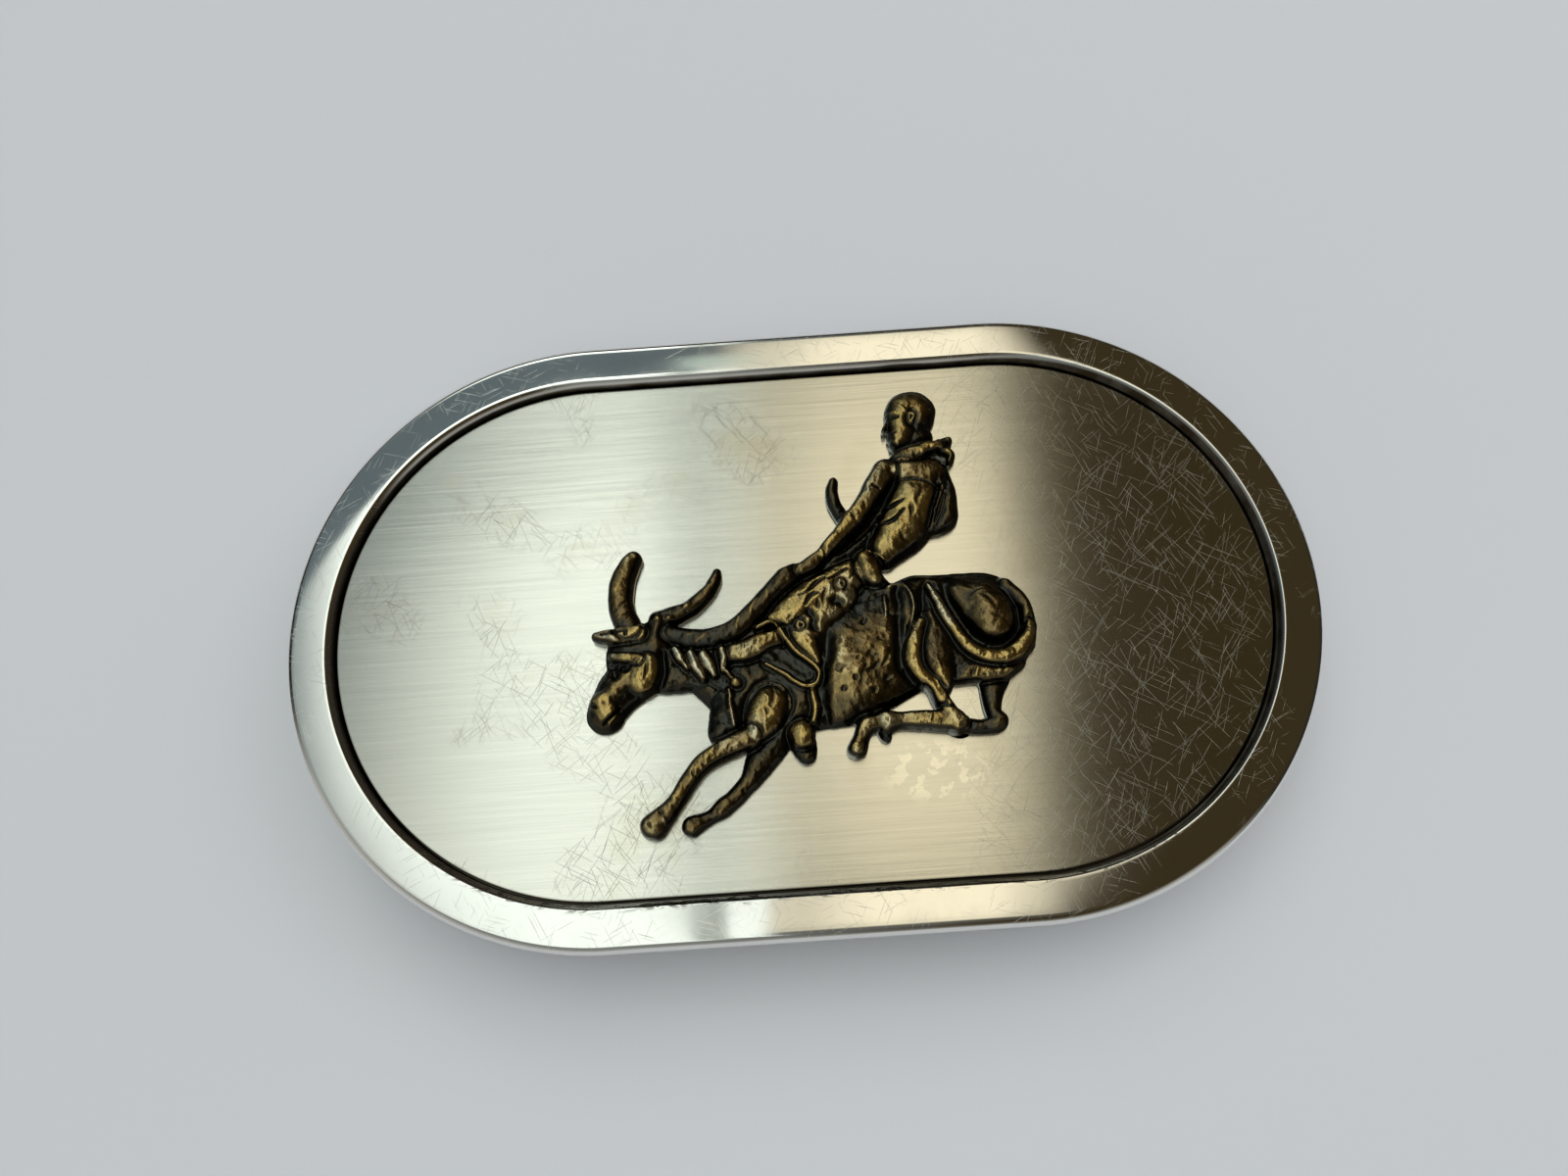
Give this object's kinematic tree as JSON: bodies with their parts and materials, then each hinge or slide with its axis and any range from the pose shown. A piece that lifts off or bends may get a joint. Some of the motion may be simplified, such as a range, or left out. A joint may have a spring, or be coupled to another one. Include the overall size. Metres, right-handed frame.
{
  "type": "money clip",
  "caption": "Oval steel money clip: polished raised rim, brushed face, antiqued cast bull-rider emblem, and a sprung clip arm hinged behind the plaque.",
  "frame": {"origin": "centre of the bounding box's base: on the surface the closed arm rests on, under the plaque's centre", "axes": "+X along the plaque, from the hinge end to the arm's tip; +Y across it, towards the rider's head; +Z out of its face"},
  "size_m": [0.0572, 0.0346, 0.0088],
  "materials": {
    "rim_steel": "mirror-polished stainless steel with fine handling scratches",
    "inlay_steel": "stainless steel brushed lengthwise, fine scratches and faint tarnish",
    "back_steel": "satin stainless steel",
    "antique_brass": "antiqued cast brass, blackened hollows and worn golden highlights",
    "stud_brass": "plain turned brass",
    "nut_steel": "blued spring steel",
    "clip_steel": "polished stainless steel strip",
    "rivet_steel": "bright steel rivets",
    "spring_steel": "blued spring steel leaf",
    "pin_steel": "ground steel pin with peened heads"
  },
  "bodies": {
    "plaque": {"rim_ring": "rim_steel", "back_plate": "back_steel", "inlay_plate": "inlay_steel", "emblem": "antique_brass", "emblem_studs": "stud_brass", "push_nuts": "nut_steel", "clip_base": "clip_steel", "base_rivets": "rivet_steel", "snap_spring": "spring_steel", "spring_rivets": "rivet_steel", "hinge_pin": "pin_steel"},
    "clip_arm": {"clip_arm": "clip_steel"}
  },
  "joints": [
    {"name": "arm_hinge", "type": "hinge", "parent": "plaque", "child": "clip_arm", "pos_m": [-0.0205, 0, 0.0029], "axis": [0, 1, 0], "range_deg": [0, 95], "stiffness_Nm_per_rad": 0.02, "springref_deg": -20.05, "deforming": ["snap_spring"]}
  ]
}
